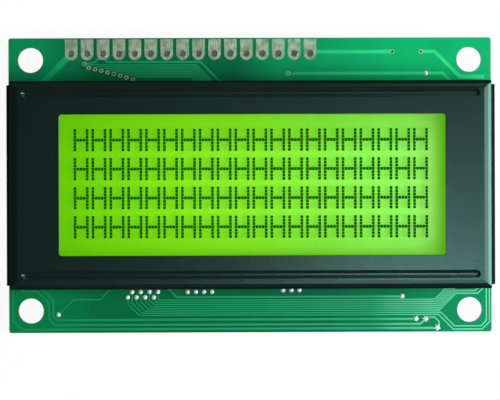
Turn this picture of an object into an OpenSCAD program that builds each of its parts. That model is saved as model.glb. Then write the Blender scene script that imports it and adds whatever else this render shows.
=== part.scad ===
// Character display module: 20 characters by 4 lines, reflective cell over an LED backlight,
// held on its circuit board by a folded steel bezel. The board lies level, the window looks up.
// Origin: centre of the outline, at the tips of the bezel's tabs. Millimetres.

/* [Circuit board] */
// Length of the circuit board
board_w = 77; // [76.9:0.1:84]
// Depth of the circuit board
board_d = 47; // [46.6:0.1:54]
// Thickness of the circuit board
board_t = 1.6; // [0.8:0.1:2.4]
// Radius of the board's corners
board_corner_r = 0.4; // [0.2:0.1:1]
// Height of copper, solder mask and lands over the bare board
copper_t = 0.05; // [0.03:0.01:0.09]

/* [Mounting holes] */
// Distance from the board's edges to the middle of a mounting hole
hole_from_edge = 3.5; // [3.4:0.1:3.6]
// Diameter of a mounting hole
hole_dia = 4; // [2:0.1:4.2]

/* [Terminals] */
// Number of terminals in the row
terminal_count = 16; // [4:1:16]
// Distance between neighbouring terminals
terminal_pitch = 2.54; // [2.5:0.01:2.6]
// Distance from the board's left edge to the first terminal
terminal_from_left = 10; // [9.8:0.1:10.6]
// Distance from the board's upper edge to the terminal holes
terminal_from_edge = 2.5; // [1.9:0.1:2.6]
// Diameter of a plated terminal hole
terminal_bore = 1; // [0.8:0.05:1.2]
// Thickness of the plating in a hole
plating_t = 0.05; // [0.03:0.01:0.1]
// Width of a terminal land
land_w = 2; // [1.6:0.05:2.2]
// Bare strip between the lands and the board's edge
land_edge_gap = 0.2; // [0.1:0.05:0.5]

/* [Bezel] */
// How far the bezel stays inside each end of the board
bezel_inset = 0.05; // [0.05:0.05:0.2]
// Width of the open strip of board above and below the bezel
board_strip = 7.1; // [7:0.05:7.2]
// Height of the bezel's face over the board
bezel_h = 9.4; // [8:0.1:12]
// Thickness of the steel sheet
steel_t = 0.5; // [0.4:0.05:0.6]
// Outer radius of the folds along the long sides
fold_r = 1.3; // [0.9:0.1:1.3]
// Outer radius of the folds at the short sides
end_fold_r = 1.8; // [1.2:0.1:2]
// Corner notch, along the long side
notch_x = 0.6; // [0.55:0.05:1]
// Corner notch, along the short side
notch_y = 0.65; // [0.55:0.05:1]
// Gap between the bezel's walls and the board
wall_lift = 0.1; // [0.1:0.05:0.3]

/* [Window] */
// Width of the bezel's face at each end of the window
rim_x = 8.05; // [7.5:0.05:9.4]
// Width of the bezel's face above and below the window
rim_y = 5.25; // [4.9:0.05:6.4]
// Radius of the window's corners
window_r = 0.5; // [0.2:0.1:1.5]
// How far the window sits right of the middle
window_shift = 0.2; // [-0.5:0.1:0.5]

/* [Beads] */
// Depth of the pressed beads
bead_depth = 0.4; // [0.3:0.05:0.4]
// Width of a bead
bead_w = 1.3; // [1.1:0.05:1.4]
// Radius of a bead's floor
bead_r = 0.15; // [0.1:0.01:0.2]
// Distance from the bezel's long edges to the beads
bead_from_edge = 2.15; // [2.1:0.05:2.4]
// How far the pair of beads sits above the bezel's middle
bead_shift = 0.15; // [0:0.05:0.15]
// Distance from the bezel's short edges to the beads' ends
bead_from_end = 2.4; // [2:0.1:6]

/* [Tabs] */
// Width of a tab
tab_w = 1.8; // [1.2:0.1:1.9]
// How far a tab stands out of the board's rear face
tab_reach = 2; // [1.8:0.1:3]
// Height over which a tab is twisted
tab_twist_h = 0.9; // [0.5:0.1:1.2]
// Angle of the twist
tab_twist = 40; // [20:5:60]
// Clearance round a tab in its slot
slot_gap = 0.1; // [0.05:0.05:0.15]
// Distance from the bezel's ends to the outer tabs
outer_tab_from_end = 8.95; // [8.65:0.05:9.45]

/* [Display cell] */
// Thickness of each glass plate
glass_t = 1.1; // [0.7:0.1:1.2]
// Clearance between the front plate and the bezel's long walls
glass_gap = 0.3; // [0.25:0.05:0.5]
// Clearance between the glass plates and the bezel's short walls
glass_end_gap = 0.65; // [0.4:0.05:1]
// Width of the contact ledges on the front plate
ledge_w = 2.5; // [2.4:0.05:2.6]
// Gap between the plates, which the seal fills
cell_gap = 0.1; // [0.08:0.01:0.2]
// Width of the seal
seal_w = 1.2; // [0.8:0.1:1.8]
// Length of the filling port in the seal
port_w = 3; // [2:0.1:5]
// Thickness of a polarising film
film_t = 0.2; // [0.1:0.05:0.25]
// How far the front film reaches past the window
film_margin = 1.2; // [0.8:0.1:1.4]
// Clearance over the front plate, under the beads
bead_gap = 0.05; // [0.02:0.01:0.1]

/* [Characters] */
// Characters in a line
char_columns = 20; // [8:1:20]
// Lines of characters
char_lines = 4; // [1:1:4]
// Distance between neighbouring characters
char_pitch = 2.815; // [2.6:0.005:2.85]
// Distance between lines
line_pitch = 4.57; // [4.3:0.01:4.8]
// Dot pitch along a line
dot_pitch_x = 0.48; // [0.4:0.01:0.5]
// Dot pitch across a line
dot_pitch_y = 0.51; // [0.4:0.01:0.53]
// Gap between neighbouring dots
dot_gap = 0.06; // [0.02:0.01:0.1]

/* [Backlight] */
// Thickness of the diffuser
diffuser_t = 0.5; // [0.3:0.1:1]
// Thickness of the backlight's own board
led_board_t = 0.8; // [0.6:0.1:1.2]
// Wall of the backlight's frame
frame_wall = 1.6; // [1:0.1:2.5]
// How far the backlight stays inside the rear plate's outline
backlight_inset = 0.3; // [0.2:0.05:0.6]
// LED dice along the backlight
dice_columns = 18; // [6:1:24]
// LED dice across the backlight
dice_rows = 4; // [2:1:5]
// Edge length of an LED die
die_size = 0.4; // [0.2:0.05:0.6]
// Diameter of a backlight pin
pin_dia = 0.8; // [0.5:0.05:1]
// Distance between the backlight pins
pin_span = 6; // [4:0.1:8]
// Distance from the backlight's end to its pins
pin_from_end = 1.6; // [1:0.1:2]
// How far a pin stands out of the board's rear face
pin_reach = 1.2; // [0.8:0.1:1.6]

/* [Contact strips] */
// Width of a contact strip
strip_w = 2; // [1.8:0.05:2.1]
// Clearance between a strip's ends and the front plate's ends
strip_end_gap = 1.3; // [0.8:0.1:4]
// Clearance between a strip and the front plate's edge
strip_inset = 0.1; // [0.05:0.05:0.15]
// Distance between the board's contact fingers under a strip
finger_pitch = 1.2; // [1:0.1:2]

/* [Chips and parts] */
// Diameter of the controller's epoxy cap
controller_dia = 12; // [10:0.1:13]
// Diameter of a driver's epoxy cap
driver_dia = 11; // [9:0.1:12]
// Height of the epoxy caps
cap_h = 1.6; // [1.2:0.1:1.7]
// Length of a chip resistor or capacitor
chip_l = 2; // [1.6:0.1:2.4]
// Width of a chip resistor or capacitor
chip_w = 1.25; // [0.8:0.05:1.5]
// Thickness of a chip resistor
resistor_t = 0.5; // [0.4:0.05:0.7]
// Thickness of a chip capacitor
capacitor_t = 0.9; // [0.6:0.05:1.2]

/* [Hidden] */
$fn = 48;
cut = 1;          // how far a cutting tool reaches past a face

// Levels, from the tabs' tips up
board_z = tab_reach;
front_z = board_z + board_t;
wall_z = front_z + wall_lift;
face_z = front_z + bezel_h;
glass_top = face_z - steel_t - bead_depth - bead_gap;
gap_top = glass_top - glass_t;
gap_floor = gap_top - cell_gap;
rear_glass_z = gap_floor - glass_t;
film_gap = 0.05;
rear_film_z = rear_glass_z - film_t;
diffuser_z = rear_film_z - film_gap - diffuser_t;
frame_z = front_z + led_board_t;
finger_top = front_z + copper_t;

// Outlines
bezel_w = board_w - 2 * bezel_inset;
bezel_d = board_d - 2 * board_strip;
window_w = bezel_w - 2 * rim_x;
window_d = bezel_d - 2 * rim_y;
glass_w = bezel_w - 2 * (steel_t + glass_end_gap);
front_glass_d = bezel_d - 2 * (steel_t + glass_gap);
rear_glass_d = front_glass_d - 2 * ledge_w;
backlight_w = glass_w - 2 * backlight_inset;
backlight_d = rear_glass_d - 2 * backlight_inset;
strip_l = glass_w - 2 * strip_end_gap;
strip_y = front_glass_d / 2 - strip_inset - strip_w / 2;
wall_mid_y = bezel_d / 2 - steel_t / 2;
edge_x = board_w / 2;
edge_y = board_d / 2;
hole_x = edge_x - hole_from_edge;
hole_y = edge_y - hole_from_edge;

// Terminal row
terminal_x0 = terminal_from_left - edge_x;
terminal_y = edge_y - terminal_from_edge;
function terminal_x(i) = terminal_x0 + i * terminal_pitch;
terminal_mid_x = terminal_x((terminal_count - 1) / 2);
last_terminal_x = terminal_x(terminal_count - 1);

// Tabs: the inner pair stands midway between two terminals
inner_tab_x = -terminal_x(5.5);
outer_tab_x = bezel_w / 2 - outer_tab_from_end;
tab_places = [-outer_tab_x, -inner_tab_x, inner_tab_x, outer_tab_x];

// Backlight pins
pin_x = backlight_w / 2 - pin_from_end;
pin_land_r = pin_dia / 2 + 0.5;

// Vias
via_land_r = 0.35;
via_bore_r = 0.16;
via_drill_r = via_bore_r + plating_t;
bead_of_solder = 0.22;     // height of a solder bead on a filled via

// Upper left: eight vias step down to the right, each feeds one line of the upper bundle
fan_count = 8;
fan_pitch = 0.28;
fan_via_pitch = 1;
fan_from_first = 2.8;      // from the first terminal to the first via
fan_vias_from_edge = 4.75;
fan_lines_from_edge = 4.25;
fan_step = 0.2;
function fan_via(k) =
    [terminal_x0 + fan_from_first + fan_via_pitch * k,
     edge_y - fan_vias_from_edge - fan_step * k * (1 + k / 20)];
function fan_line_y(k) = edge_y - fan_lines_from_edge - fan_pitch * k;

// Lower left: eight vias in two staggered rows feed the lower bus
bus_count = 8;
bus_pitch = 0.345;
bus_via_pitch = 0.69;
bus_from_left = 18.9;      // from the board's left edge to the first via
bus_rows_from_edge = [5.65, 6.5];
bus_from_edge = 2.75;
function bus_y(k) = bus_from_edge + bus_pitch * k - edge_y;
function bus_via(k) =
    [bus_from_left + bus_via_pitch * k - edge_x, bus_rows_from_edge[k % 2] - edge_y];

// Two short rows of vias beside the bus, from the board's left edge and from its middle
row_pitch = 1.3;
left_row = [28.45, 6.5];
middle_row = [5.2, 6.7];
function left_row_via(k) = [left_row[0] + row_pitch * k - edge_x, left_row[1] - edge_y];
function middle_row_via(k) = [middle_row[0] + row_pitch * k, middle_row[1] - edge_y];

// Single vias and solder spots, from the holes, the terminals and the board's long edges
link_via = [terminal_x0 + 2.1, edge_y - 4.1];
supply_via = [hole_x - 12.25, terminal_y + 0.25];
supply_far_via = [hole_x - 7.7, supply_via[1]];
rail_via = [last_terminal_x - 3.5, edge_y - 5.7];
rail_dot = [hole_x - 6.9, rail_via[1]];
corner_via = [4.35 - hole_x, 2.9 - edge_y];
guard_via = [hole_x - 10.8, 5.7 - edge_y];
spot_a = [hole_x - 8.6, 2.05 - edge_y];
spot_b = [hole_x - 7.1, spot_a[1]];
spot_c = [hole_x - 5.2, 0.6 - edge_y];
open_via_places = concat(
    [link_via, supply_via, supply_far_via, rail_via],
    [for (k = [0:fan_count - 1]) fan_via(k)]);
filled_via_places = concat(
    [corner_via, guard_via],
    [for (k = [0:bus_count - 1]) bus_via(k)],
    [for (k = [0:3]) left_row_via(k)],
    [for (k = [0:2]) middle_row_via(k)]);
solder_spot_places = [spot_a, spot_b, spot_c, rail_dot];

// Epoxy caps on the rear
cap_y = -2.5;
left_driver_from_end = 11.5;
right_driver_from_end = 19.5;
left_driver_x = left_driver_from_end - edge_x;
right_driver_x = edge_x - right_driver_from_end;

// Chip parts on the rear, lying along Y
resistor_count = 5;
resistor_pitch = 2.6;
capacitor_from_wall = 3.65;
chip_row_gap = 3.5;        // between the capacitor and the row of resistors
capacitor_y = wall_mid_y - capacitor_from_wall;
resistor_y = capacitor_y - chip_row_gap;
supply_resistor = [pin_x - 4.2, resistor_y - 0.5];
resistor_places = concat(
    [for (k = [0:resistor_count - 1]) [right_driver_x - 1 + resistor_pitch * k, resistor_y]],
    [supply_resistor]);
capacitor_places = [[right_driver_x - 4.6, capacitor_y], [3.9 - edge_x, 6]];

// ---- Copper lines ----

function unit(v) = v / norm(v);
function left_of(v) = [-v[1], v[0]];
// Mitre vector at point i of a route, for a line that lies s to the left of it
function mitre(route, i, s) =
    let (last = len(route) - 1,
         before = unit(route[max(i, 1)] - route[max(i, 1) - 1]),
         after = unit(route[min(i + 1, last)] - route[min(i + 1, last) - 1]),
         middle = unit(left_of(before) + left_of(after)))
    middle * s / (middle * left_of(before));
function outline(route, w) = concat(
    [for (i = [0:len(route) - 1]) route[i] + mitre(route, i, w / 2)],
    [for (i = [len(route) - 1:-1:0]) route[i] - mitre(route, i, w / 2)]);

module line(w, route) {
    linear_extrude(copper_t) polygon(outline(route, w));
}

// Where lines that run under the bezel end
hidden_y = wall_mid_y;
mitre_step = sqrt(2) - 1;

supply_w = 0.6;
guard_w = 0.35;
fine_w = 0.2;
fan_w = 0.18;
link_w = 0.3;
rail_w = 0.5;
left_x = 0.6 - edge_x;
low_y = 0.55 - edge_y;
guard_step = 0.7;          // between neighbouring guard lines

module upper_lines() {
    link_y = edge_y - 3.8;
    link_turn_x = terminal_mid_x + 1.55;
    fan_turn_x = terminal_mid_x + 0.85;
    supply_turn_x = hole_x - 5.5;
    below_hole_y = hole_y - 2.8;
    rail_turn_x = hole_x - 4.2;
    line(1, [[terminal_x0, terminal_y], [terminal_x0 - (terminal_y - hidden_y), hidden_y]]);
    line(link_w, [[terminal_x(2) - 0.3, terminal_y - 0.4], [terminal_x(2) - 1.3, link_via[1] + 0.3],
                  [link_via[0] + 1, link_via[1]], link_via]);
    line(link_w, [[terminal_x(2), terminal_y - 0.6], [terminal_x(2) + 0.7, link_y],
                  [link_turn_x, link_y], [link_turn_x + link_y - hidden_y, hidden_y]]);
    for (k = [0:fan_count - 1]) {
        y = fan_line_y(k);
        turn_x = fan_turn_x - k * fan_pitch * mitre_step;
        line(fan_w, [fan_via(k), [fan_via(k)[0] + y - fan_via(k)[1], y],
                     [turn_x, y], [turn_x + y - hidden_y, hidden_y]]);
    }
    // Backlight supply: past two vias and round the right hole
    line(supply_w, [[last_terminal_x, supply_via[1]], supply_via]);
    line(supply_w, [supply_far_via, [supply_turn_x, supply_far_via[1]],
                    [supply_turn_x + supply_far_via[1] - below_hole_y, below_hole_y],
                    [hole_x + 2.4, below_hole_y]]);
    line(rail_w, [rail_via, [rail_turn_x, rail_via[1]],
                  [rail_turn_x + rail_via[1] - hidden_y, hidden_y]]);
}

module lower_lines() {
    inner_y = low_y + guard_step;
    inner_x = 2.8 - hole_x;
    middle_y = guard_via[1] - 0.05;
    bus_turn = 1.85;
    // Three guard lines round the left hole and along the edge
    line(guard_w, [[left_x, -hidden_y], [left_x, low_y + 1.35], [left_x + 1.35, low_y], spot_c]);
    line(guard_w, [[-hole_x - 1.9, -hidden_y], [-hole_x - 1.15, -hidden_y - 0.75],
                   [1 - hole_x, -hidden_y - 0.75], [inner_x, -hidden_y - 2.55],
                   [inner_x, inner_y + 0.95], [inner_x + 0.95, inner_y],
                   [spot_b[0] - 0.8, inner_y], spot_b]);
    line(guard_w, [[1.35 - hole_x, -hidden_y], [inner_x + guard_step, -hidden_y - 2.15],
                   [inner_x + guard_step, low_y + 2.1], [inner_x + 1.3, spot_a[1]], spot_a]);
    line(0.25, [spot_b + [0.2, 0.25], spot_b + [1.5, 0.25], spot_b + [2.2, -0.45],
                spot_b + [2.2, -1.15], spot_c]);
    line(0.25, [corner_via, corner_via + [2.4, 2.4], corner_via + [6.65, 2.4],
                [corner_via[0] + 6.65 - corner_via[1] - 2.4 - hidden_y, -hidden_y]]);
    line(link_w, [[left_row_via(-1)[0] - 1.8, -hidden_y - 0.3], [left_row_via(-1)[0] - 0.45, middle_y],
                  [guard_via[0], middle_y]]);
    // The bus: two lines pass below the right hole, two above it, four run straight under the bezel
    for (k = [0:bus_count - 1]) {
        via = bus_via(k);
        turn_y = bus_y(0) + bus_turn + 0.12 * k;
        start = [via, [via[0], turn_y], [via[0] + turn_y - bus_y(k), bus_y(k)]];
        line(fine_w, concat(start, bus_end(k)));
    }
}

// Right end of bus line k
below_x = hole_x - 5;
above_x = hole_x - 5.6;
function bus_end(k) = k < 2 ? end_below(k) : end_above(k);
function end_below(k) =
    let (y = bus_y(k),
         x = below_x + bus_pitch * k * (1 + mitre_step) * 0.8,
         level = 0.4 + 0.5 * k - edge_y,
         side = edge_x - 0.35 - 0.5 * k)
    [[x, y], [x + y - level, level], [hole_x + 2 - 0.2 * k, level],
     [side, level + side - hole_x - 2 + 0.2 * k], [side, -hidden_y]];
function end_above(k) =
    let (y = bus_y(k),
         x = above_x + bus_pitch * (bus_count - 1 - k) * mitre_step,
         level = k < 4 ? -hole_y + 2.63 + 0.41 * (k - 2) : -hidden_y,
         far = hole_x + 1.3 - 0.4 * (k - 2))
    k < 4 ? [[x, y], [x + level - y, level], [far, level], [far - level - hidden_y, -hidden_y]]
          : [[x, y], [x + level - y, level]];

module front_tracks() {
    color([0.2, 0.72, 0.42])
        translate([0, 0, front_z])
            difference() {
                union() {
                    upper_lines();
                    lower_lines();
                }
                clear_of_lands();
            }
}

// Room for the vias, solder beads and terminal lands, which stand on the bare board themselves
module clear_of_lands() {
    for (place = open_via_places)
        translate([place[0], place[1], -cut]) cylinder(r = via_land_r, h = 2 * cut);
    for (place = concat(filled_via_places, solder_spot_places))
        translate([place[0], place[1], -cut]) cylinder(r = via_land_r, h = 2 * cut);
    for (i = [0:terminal_count - 1])
        translate([terminal_x(i), terminal_y, -cut]) linear_extrude(2 * cut) land_shape();
}

// ---- Rear copper ----

// One line of a fan that narrows from pitch wide to pitch narrow on its way from y_wide to y_narrow
module fan_line(x, k, wide, narrow, y_wide, y_narrow, y_end) {
    way = sign(y_narrow - y_wide);
    step = abs(k) * (wide - narrow);
    route = [[x + k * wide, y_wide], [x + k * wide, y_narrow - way * step],
             [x + k * narrow, y_narrow], [x + k * narrow, y_end]];
    line(fine_w, route);
}

// Rear fan between an epoxy cap and its row of vias under the contact strip
contact_row_y = strip_y - strip_w / 2 - 0.9;
module contact_fan(x, cap_dia, side, count) {
    via_pitch = 0.95;
    for (i = [0:count - 1]) {
        k = i - (count - 1) / 2;
        cap_edge = cap_y + side * (cap_dia / 2 + 0.5);
        fan_line(x, k, via_pitch, 0.5, side * contact_row_y, cap_edge, cap_y + side * cap_dia * 0.3);
        translate([x + k * via_pitch, side * contact_row_y, 0])
            cylinder(d = 0.55, h = copper_t);
    }
}

module rear_tracks() {
    color([0.16, 0.6, 0.36])
        translate([0, 0, board_z])
            mirror([0, 0, 1])
                difference() {
                    union() {
                        rear_lines();
                    }
                    clear_of_lands();
                    for (side = [-1, 1])
                        translate([pin_x, side * pin_span / 2, -cut])
                            cylinder(r = pin_land_r, h = 2 * cut);
                    for (x = tab_places, side = [-1, 1])
                        translate([x, side * wall_mid_y, -cut])
                            cylinder(d = tab_w + 2 * slot_gap, h = 2 * cut);
                    cap_room();
                    chip_room();
                }
}

module rear_lines() {
    // Terminals to the controller
    for (i = [0:terminal_count - 1])
        fan_line(terminal_mid_x, i - (terminal_count - 1) / 2, terminal_pitch, 0.6,
                 terminal_y - 0.7, cap_y + controller_dia / 2 + 0.8, cap_y + controller_dia * 0.3);
    contact_fan(terminal_mid_x, controller_dia, -1, 16);
    contact_fan(left_driver_x, driver_dia, -1, 14);
    contact_fan(right_driver_x, driver_dia, -1, 16);
    // Bus between the caps
    for (k = [0:5]) {
        y = cap_y + 0.55 * (k - 2.5);
        line(fine_w, [[left_driver_x, y], [right_driver_x, y]]);
    }
    // Bias ladder: a line from the last terminal, and links along the resistors
    ladder_step = 2.8;
    ladder_x = last_terminal_x + ladder_step;
    ladder_y = capacitor_y + 0.7;
    pad_y = chip_l / 2;
    line(link_w, [[last_terminal_x, terminal_y - 0.6], [last_terminal_x, ladder_y],
                  [ladder_x, ladder_y - ladder_step], [ladder_x, cap_y + 3],
                  [right_driver_x - 4, cap_y + 2]]);
    for (k = [0:resistor_count - 2]) {
        y = resistor_y + (k % 2 == 0 ? pad_y : -pad_y);
        line(link_w, [[resistor_places[k][0], y], [resistor_places[k + 1][0], y]]);
    }
    for (k = [0:resistor_count - 1]) {
        x = resistor_places[k][0];
        cap_x = right_driver_x + 0.7 * (k - 2);
        turn_y = resistor_y - 2.6;
        line(0.25, [[x, resistor_y - pad_y], [x, turn_y],
                    [cap_x, turn_y - abs(x - cap_x)], [cap_x, cap_y]]);
    }
    // Backlight supply: its resistor and pins
    supply_x = supply_resistor[0];
    turn_y = supply_resistor[1] + 2.7;
    line(0.8, [[supply_x, supply_resistor[1] - pad_y], [supply_x, pin_span / 2 + 2], [pin_x, pin_span / 2]]);
    line(0.8, [[supply_x, supply_resistor[1] + pad_y], [supply_x, turn_y],
               [supply_far_via[0], turn_y + supply_x - supply_far_via[0]], supply_far_via]);
    line(0.8, [[pin_x, -pin_span / 2], [pin_x, -pin_span / 2 - 7], [pin_x - 2, -pin_span / 2 - 9]]);
}

module cap_room() {
    for (cap = [[terminal_mid_x, controller_dia], [left_driver_x, driver_dia], [right_driver_x, driver_dia]])
        translate([cap[0], cap_y, -cut]) cylinder(d = cap[1], h = 2 * cut);
}

module chip_room() {
    for (place = concat(resistor_places, capacitor_places))
        translate([place[0] - chip_pad_w / 2, place[1] - chip_pad_l / 2, -cut])
            cube([chip_pad_w, chip_pad_l, 2 * cut]);
}

// ---- Circuit board ----

module rounded_rectangle(w, d, r) {
    square([w, d - 2 * r], center = true);
    square([w - 2 * r, d], center = true);
    for (x = [-1, 1], y = [-1, 1])
        translate([x * (w / 2 - r), y * (d / 2 - r)]) circle(r);
}

module through_board(r, place) {
    translate([place[0], place[1], board_z - cut]) cylinder(r = r, h = board_t + 2 * cut);
}

module circuit_board() {
    color([0.03, 0.45, 0.22])
        difference() {
            translate([0, 0, board_z])
                linear_extrude(board_t) rounded_rectangle(board_w, board_d, board_corner_r);
            for (x = [-1, 1], y = [-1, 1])
                through_board(hole_dia / 2, [x * hole_x, y * hole_y]);
            for (i = [0:terminal_count - 1])
                through_board(terminal_bore / 2 + plating_t, [terminal_x(i), terminal_y]);
            for (place = concat(open_via_places, filled_via_places))
                through_board(via_drill_r, place);
            for (y = [-1, 1])
                through_board(pin_dia / 2, [pin_x, y * pin_span / 2]);
            for (x = tab_places, side = [-1, 1])
                translate([x, side * wall_mid_y, board_z + board_t / 2])
                    cube([tab_w + 2 * slot_gap, steel_t + 2 * slot_gap, board_t + 2 * cut], center = true);
        }
}

// Tongue with a round end about the hole
module land_shape() {
    circle(d = land_w);
    translate([-land_w / 2, 0])
        square([land_w, terminal_from_edge - land_edge_gap]);
}

module terminal_lands() {
    color([0.72, 0.68, 0.58])
        for (i = [0:terminal_count - 1])
            translate([terminal_x(i), terminal_y, 0])
                difference() {
                    union() {
                        translate([0, 0, front_z]) linear_extrude(copper_t) land_shape();
                        translate([0, 0, board_z - copper_t]) linear_extrude(copper_t) land_shape();
                        translate([0, 0, board_z]) cylinder(d = terminal_bore + 2 * plating_t, h = board_t);
                    }
                    translate([0, 0, board_z - cut]) cylinder(d = terminal_bore, h = board_t + 2 * cut);
                }
}

module open_vias() {
    color([0.75, 0.72, 0.62])
        for (place = open_via_places)
            translate([place[0], place[1], 0])
                difference() {
                    union() {
                        translate([0, 0, front_z]) cylinder(r = via_land_r, h = copper_t);
                        translate([0, 0, board_z - copper_t]) cylinder(r = via_land_r, h = copper_t);
                        translate([0, 0, board_z]) cylinder(r = via_drill_r, h = board_t);
                    }
                    translate([0, 0, board_z - cut]) cylinder(r = via_bore_r, h = board_t + 2 * cut);
                }
}

// Spherical cap of solder or epoxy with its flat at z = 0
module dome(r, h) {
    ball_r = (r * r + h * h) / (2 * h);
    intersection() {
        translate([0, 0, h - ball_r]) sphere(ball_r);
        cylinder(r = r, h = h + cut);
    }
}

module filled_vias() {
    color([0.8, 0.8, 0.76]) {
        for (place = filled_via_places)
            translate([place[0], place[1], 0]) {
                translate([0, 0, board_z]) cylinder(r = via_drill_r, h = board_t);
                translate([0, 0, front_z]) dome(via_land_r, bead_of_solder, $fn = 24);
                translate([0, 0, board_z]) mirror([0, 0, 1]) dome(via_land_r, bead_of_solder, $fn = 24);
            }
        for (place = solder_spot_places)
            translate([place[0], place[1], front_z]) dome(via_land_r, bead_of_solder, $fn = 24);
    }
}

module contact_fingers() {
    finger_count = floor((strip_l - 1) / finger_pitch);
    color([0.85, 0.7, 0.35])
        for (side = [-1, 1], i = [0:finger_count])
            translate([(i - finger_count / 2) * finger_pitch, side * strip_y, front_z + copper_t / 2])
                cube([finger_pitch / 2, strip_w, copper_t], center = true);
}

// ---- Bezel ----

module bar_section(w, h, r) {
    translate([-w / 2, 0]) square([w, h - r]);
    translate([r - w / 2, 0]) square([w - 2 * r, h]);
    for (side = [-1, 1])
        translate([side * (w / 2 - r), h - r]) circle(r);
}

// Block with all four upper edges rounded, as two crossed bars share it
module pillow(w, d, h, r, end_r) {
    intersection() {
        translate([-w / 2, 0, 0]) rotate([90, 0, 90]) linear_extrude(w) bar_section(d, h, r);
        translate([0, d / 2, 0]) rotate([90, 0, 0]) linear_extrude(d) bar_section(w, h, end_r);
    }
}

// Bar with sloping flanks and a round floor that fills a bead from its floor to over the face
module bead_bar() {
    half = (bezel_w - bead_w) / 2 - bead_from_end;
    hull()
        for (x = [-half, half])
            translate([x, 0, 0]) {
                translate([0, 0, bead_r - bead_depth]) sphere(bead_r);
                cylinder(r = bead_w / 2, h = cut);
            }
}

module at_beads() {
    for (side = [-1, 1])
        translate([0, side * (bezel_d / 2 - bead_from_edge) + bead_shift, face_z]) children();
}

module tab(side) {
    drop_z = board_z - tab_twist_h;
    // Straight through the slot
    translate([-tab_w / 2, -steel_t / 2, board_z])
        cube([tab_w, steel_t, wall_z + 1 - board_z]);
    // Twisted behind the board
    translate([0, 0, board_z])
        rotate([180, 0, 0])
            linear_extrude(tab_twist_h, twist = side * tab_twist, slices = 6, segments = 4)
                square([tab_w, steel_t], center = true);
    rotate([0, 0, side * tab_twist])
        translate([-tab_w / 2, -steel_t / 2, 0])
            cube([tab_w, steel_t, drop_z]);
}

module bezel() {
    wall_h = face_z - wall_z;
    color([0.06, 0.1, 0.09]) {
        difference() {
            union() {
                translate([0, 0, wall_z])
                    difference() {
                        pillow(bezel_w, bezel_d, wall_h, fold_r, end_fold_r);
                        translate([0, 0, -cut])
                            pillow(bezel_w - 2 * steel_t, bezel_d - 2 * steel_t,
                                   wall_h - steel_t + cut, fold_r - steel_t, end_fold_r - steel_t);
                    }
                intersection() {
                    at_beads() translate([0, 0, -steel_t]) bead_bar();
                    translate([-bezel_w / 2, -bezel_d / 2, wall_z])
                        cube([bezel_w, bezel_d, wall_h - steel_t / 2]);
                }
            }
            at_beads() bead_bar();
            translate([window_shift, 0, face_z - 2 * steel_t])
                linear_extrude(3 * steel_t) rounded_rectangle(window_w, window_d, window_r);
            for (x = [-1, 1], y = [-1, 1])
                translate([x * bezel_w / 2, y * bezel_d / 2, wall_z + wall_h / 2])
                    cube([2 * notch_x, 2 * notch_y, wall_h + 2 * cut], center = true);
        }
        for (x = tab_places, side = [-1, 1])
            translate([x, side * wall_mid_y, 0]) tab(side);
    }
}

// ---- Display cell ----

module sheet(w, d, t, z, x = 0) {
    translate([x - w / 2, -d / 2, z]) cube([w, d, t]);
}

module front_polariser() {
    color([0.45, 0.8, 0.1, 0.6])
        sheet(window_w + 2 * film_margin, window_d + 2 * film_margin, film_t, glass_top, window_shift);
}

module front_glass() {
    color([0.8, 0.9, 0.85, 0.4]) sheet(glass_w, front_glass_d, glass_t, gap_top);
}

module rear_glass() {
    color([0.8, 0.9, 0.85, 0.4]) sheet(glass_w, rear_glass_d, glass_t, rear_glass_z);
}

module rear_polariser() {
    color([0.5, 0.75, 0.2]) sheet(glass_w - 2, rear_glass_d - 2 * seal_w, film_t, rear_film_z);
}

// Rim of glue between the plates, open at the filling port in its left side
module cell_seal() {
    color([0.75, 0.75, 0.7])
        difference() {
            sheet(glass_w - 0.4, rear_glass_d - 0.4, cell_gap, gap_floor);
            sheet(glass_w - 0.4 - 2 * seal_w, rear_glass_d - 0.4 - 2 * seal_w, 2 * cell_gap,
                  gap_floor - cell_gap / 2);
            translate([-glass_w / 2, -port_w / 2, gap_floor - cell_gap / 2])
                cube([seal_w + 0.3, port_w, 2 * cell_gap]);
        }
}

module fill_plug() {
    color([0.85, 0.8, 0.65])
        translate([0.2 - glass_w / 2, -port_w / 2, gap_floor]) {
            cube([seal_w, port_w, cell_gap]);
            translate([-0.2 - 0.25, -0.4, -0.4])
                cube([0.25, port_w + 0.8, cell_gap + 0.8]);
            translate([-0.2, 0, 0]) cube([0.2, port_w, cell_gap]);
        }
}

// Every cell shows its two outer columns and its middle row, which is the full-screen test pattern.
// A cell has a spare row under its seven, so the whole pattern sits half a dot pitch high.
dot_rows = 7;
dot_columns = 5;
module display_dots() {
    dot_w = dot_pitch_x - dot_gap;
    dot_h = dot_pitch_y - dot_gap;
    column_h = dot_rows * dot_pitch_y - dot_gap;
    row_w = dot_columns * dot_pitch_x - dot_gap;
    dot_t = cell_gap * 0.6;
    color([0.03, 0.12, 0.03])
        for (i = [0:char_columns - 1], j = [0:char_lines - 1])
            translate([(i - (char_columns - 1) / 2) * char_pitch,
                       (j - (char_lines - 1) / 2) * line_pitch + dot_pitch_y / 2,
                       gap_floor + cell_gap / 2]) {
                for (side = [-1, 1])
                    translate([side * (row_w - dot_w) / 2, 0, 0])
                        cube([dot_w, column_h, dot_t], center = true);
                cube([row_w, dot_h, dot_t], center = true);
            }
}

// ---- Backlight ----

module diffuser() {
    color([0.75, 0.95, 0.3]) sheet(backlight_w, backlight_d, diffuser_t, diffuser_z);
}

module backlight_frame() {
    color("white")
        difference() {
            sheet(backlight_w, backlight_d, diffuser_z - frame_z, frame_z);
            sheet(backlight_w - 2 * frame_wall, backlight_d - 2 * frame_wall,
                  diffuser_z - frame_z + 2 * cut, frame_z - cut);
        }
}

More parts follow.
